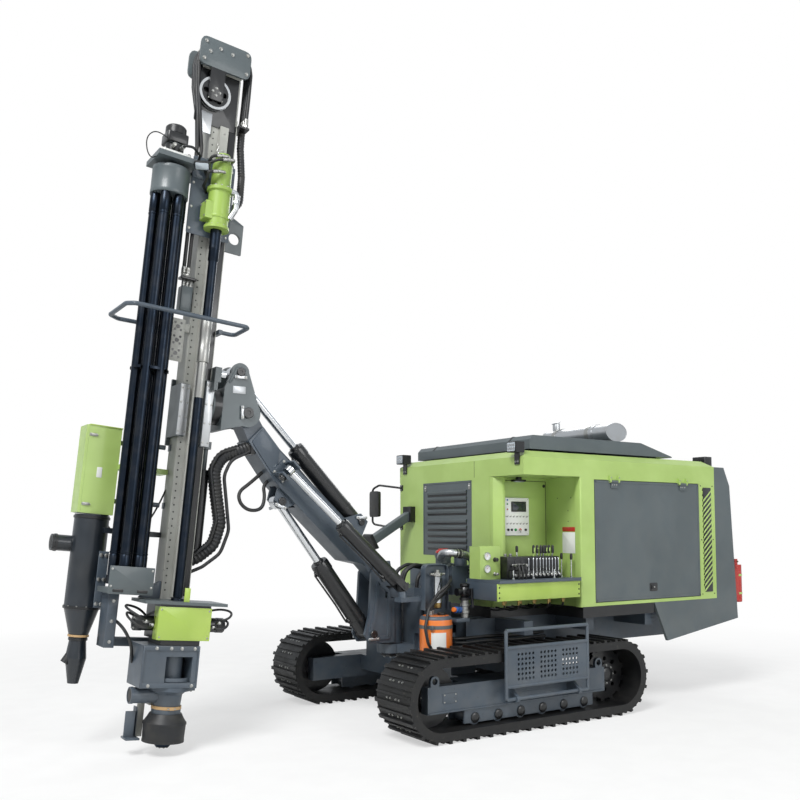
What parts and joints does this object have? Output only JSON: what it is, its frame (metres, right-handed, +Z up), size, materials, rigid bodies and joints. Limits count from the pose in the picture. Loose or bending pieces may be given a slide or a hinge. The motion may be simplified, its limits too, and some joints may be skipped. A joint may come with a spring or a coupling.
{
  "type": "down-the-hole drilling rig",
  "caption": "Tracked down-the-hole drilling rig with an articulated boom, a tall feed mast with a rod magazine, and a louvred engine body.",
  "frame": {"origin": "on the ground under the middle of the whole machine, bottom centre of its bounding box", "axes": "+X forwards towards the feed mast, +Y to the machine's left, where the operator stands, +Z up"},
  "size_m": [6.781, 2.4579, 5.6823],
  "materials": {
    "lime_paint": "satin",
    "grey_paint": "satin",
    "blue_grey_paint": "satin",
    "dark_paint": "satin",
    "beam_paint": "satin",
    "red_paint": "gloss",
    "track_steel": "worn",
    "drill_steel": "oiled",
    "chrome_rod": "polished",
    "silver_sheet": "satin",
    "black_rubber": "matt"
  },
  "bodies": {
    "machine": {"left_track": "track_steel", "right_track": "track_steel", "left_track_frame": "blue_grey_paint", "right_track_frame": "blue_grey_paint", "track_wheels": "dark_paint", "chassis_frame": "dark_paint", "body_floor": "dark_paint", "front_wall": "lime_paint", "corner_walls": "lime_paint", "side_walls": "lime_paint", "side_vents": "lime_paint", "front_louvre": "grey_paint", "eaves_band": "lime_paint", "intake_box": "grey_paint", "roof_lid": "dark_paint", "silencer": "silver_sheet", "rear_cowl": "grey_paint", "rear_grille": "grey_paint", "engine_block": "dark_paint", "control_plate": "silver_sheet", "lever_console": "lime_paint", "boom_pedestal": "dark_paint", "deck_fittings": "dark_paint", "work_lamps": "dark_paint", "front_brackets": "dark_paint", "extinguishers": "red_paint"},
    "left_door": {"left_door": "grey_paint"},
    "right_door": {"right_door": "grey_paint"},
    "step": {"step_platform": "dark_paint"},
    "swing_bracket": {"swing_bracket": "blue_grey_paint"},
    "boom": {"boom": "blue_grey_paint"},
    "lift_barrel": {"lift_barrel": "dark_paint"},
    "lift_rod": {"lift_rod": "chrome_rod"},
    "tilt_barrel": {"tilt_barrel": "dark_paint"},
    "tilt_rod": {"tilt_rod": "chrome_rod"},
    "swing_knuckle": {"swing_knuckle": "dark_paint"},
    "swing_barrel": {"swing_barrel": "dark_paint"},
    "swing_rod": {"swing_rod": "chrome_rod"},
    "head_bracket": {"head_bracket": "blue_grey_paint"},
    "feed_swing_barrel": {"feed_swing_barrel": "dark_paint"},
    "feed_swing_rod": {"feed_swing_rod": "chrome_rod"},
    "feed_cradle": {"feed_cradle": "blue_grey_paint"},
    "feed_beam": {"feed_beam": "beam_paint", "slide_barrel": "dark_paint", "magazine_frame": "beam_paint", "clamp_unit": "lime_paint", "suction_hood": "dark_paint", "hood_skirt": "black_rubber", "dust_collector": "dark_paint", "control_cabinet": "lime_paint", "hoop_guard": "dark_paint"},
    "cabinet_door": {"cabinet_door": "lime_paint"},
    "hose_sheave": {"hose_sheave": "dark_paint"},
    "carriage": {"carriage": "beam_paint", "rotary_head": "lime_paint"},
    "spindle": {"spindle": "drill_steel"},
    "magazine": {"magazine_drum": "drill_steel", "drill_rods": "drill_steel"}
  },
  "joints": [
    {"name": "left_door_hinge", "type": "hinge", "parent": "machine", "child": "left_door", "pos_m": [-1.885, 0.992, 2.116], "axis": [1, 0, 0], "range_deg": [0, 85]},
    {"name": "right_door_hinge", "type": "hinge", "parent": "machine", "child": "right_door", "pos_m": [-1.885, -0.992, 2.116], "axis": [-1, 0, 0], "range_deg": [0, 85]},
    {"name": "step_hinge", "type": "hinge", "parent": "machine", "child": "step", "pos_m": [-0.305, 1.23, 0.285], "axis": [-1, 0, 0], "range_deg": [0, 90]},
    {"name": "boom_swing", "type": "hinge", "parent": "machine", "child": "swing_bracket", "pos_m": [0.485, 0, 0.85], "axis": [0, 0, 1], "range_deg": [-30, 30]},
    {"name": "boom_lift", "type": "hinge", "parent": "swing_bracket", "child": "boom", "pos_m": [0.625, 0, 1.28], "axis": [0, -1, 0], "range_deg": [-50, 9]},
    {"name": "lift_cylinder_turn", "type": "hinge", "parent": "swing_bracket", "child": "lift_barrel", "pos_m": [0.742, 0, 0.744], "axis": [0, -1, 0], "range_deg": [-42.34, 8.42]},
    {"name": "lift_cylinder_stroke", "type": "slide", "parent": "lift_barrel", "child": "lift_rod", "axis": [0.6055, 0, 0.7958], "range_m": [-0.4358, 0.0867]},
    {"name": "feed_tilt", "type": "hinge", "parent": "boom", "child": "head_bracket", "pos_m": [1.96426, 0, 2.61926], "axis": [0, 1, 0], "range_deg": [-90, 14]},
    {"name": "tilt_cylinder_turn", "type": "hinge", "parent": "boom", "child": "tilt_barrel", "pos_m": [0.864, 0, 1.73113], "axis": [0, 1, 0], "range_deg": [-8.64, 1.74]},
    {"name": "tilt_cylinder_stroke", "type": "slide", "parent": "tilt_barrel", "child": "tilt_rod", "axis": [0.6898, 0, 0.724], "range_m": [-0.4543, 0.0793]},
    {"name": "swing_knuckle_turn", "type": "hinge", "parent": "machine", "child": "swing_knuckle", "pos_m": [0.589, 0.35, 1.162], "axis": [0, -0.1564, 0.9877], "range_deg": [-33.49, 33.49]},
    {"name": "swing_cylinder_turn", "type": "hinge", "parent": "swing_knuckle", "child": "swing_barrel", "pos_m": [0.589, 0.35, 1.162], "axis": [0, -0.9877, -0.1564], "range_deg": [-47.82, 9.51]},
    {"name": "swing_cylinder_stroke", "type": "slide", "parent": "swing_barrel", "child": "swing_rod", "axis": [0.7255, -0.0726, 0.6844], "range_m": [-0.1636, 0.1636]},
    {"name": "feed_swing", "type": "hinge", "parent": "head_bracket", "child": "feed_cradle", "pos_m": [2.18002, 0, 2.6598], "axis": [0.9959, 0, 0.0906], "range_deg": [-30, 30]},
    {"name": "feed_swing_cylinder_turn", "type": "hinge", "parent": "head_bracket", "child": "feed_swing_barrel", "pos_m": [2.18887, -0.42, 2.91566], "axis": [0.9959, 0, 0.0906], "range_deg": [-7.85, 7.85]},
    {"name": "feed_swing_cylinder_stroke", "type": "slide", "parent": "feed_swing_barrel", "child": "feed_swing_rod", "axis": [0, 1, 0], "range_m": [-0.1365, 0.1365]},
    {"name": "feed_extension", "type": "slide", "parent": "feed_cradle", "child": "feed_beam", "axis": [-0.0906, 0, 0.9959], "range_m": [-0.25, 0.15]},
    {"name": "head_travel", "type": "slide", "parent": "feed_beam", "child": "carriage", "axis": [-0.0906, 0, 0.9959], "range_m": [-2.7, 0.25]},
    {"name": "spindle_turn", "type": "hinge", "parent": "carriage", "child": "spindle", "pos_m": [2.31416, 0.25, 3.96634], "axis": [-0.0906, 0, 0.9959], "continuous": true},
    {"name": "magazine_turn", "type": "hinge", "parent": "feed_beam", "child": "magazine", "pos_m": [2.77146, 0.13, 3.02391], "axis": [-0.0906, 0, 0.9959], "continuous": true},
    {"name": "hose_sheave_turn", "type": "hinge", "parent": "feed_beam", "child": "hose_sheave", "pos_m": [2.28869, 0.125, 5.23927], "axis": [0, 1, 0], "continuous": true},
    {"name": "cabinet_door_hinge", "type": "hinge", "parent": "feed_beam", "child": "cabinet_door", "pos_m": [3.19244, -0.34, 2.13842], "axis": [-0.0906, 0, 0.9959], "range_deg": [-110, 0]}
  ],
  "couplings": [
    {"joint": "lift_cylinder_turn", "follows": "boom_lift", "ratio": 0.82733},
    {"joint": "lift_cylinder_stroke", "follows": "boom_lift", "m_per_rad": 0.48784},
    {"joint": "tilt_cylinder_turn", "follows": "feed_tilt", "ratio": 0.09075},
    {"joint": "tilt_cylinder_stroke", "follows": "feed_tilt", "m_per_rad": 0.2827},
    {"joint": "swing_knuckle_turn", "follows": "boom_swing", "ratio": 1.0734},
    {"joint": "swing_cylinder_turn", "follows": "boom_lift", "ratio": 0.93432},
    {"joint": "swing_cylinder_stroke", "follows": "boom_swing", "m_per_rad": -0.30044},
    {"joint": "feed_swing_cylinder_turn", "follows": "feed_swing", "ratio": 0.23776},
    {"joint": "feed_swing_cylinder_stroke", "follows": "feed_swing", "m_per_rad": -0.25072}
  ]
}
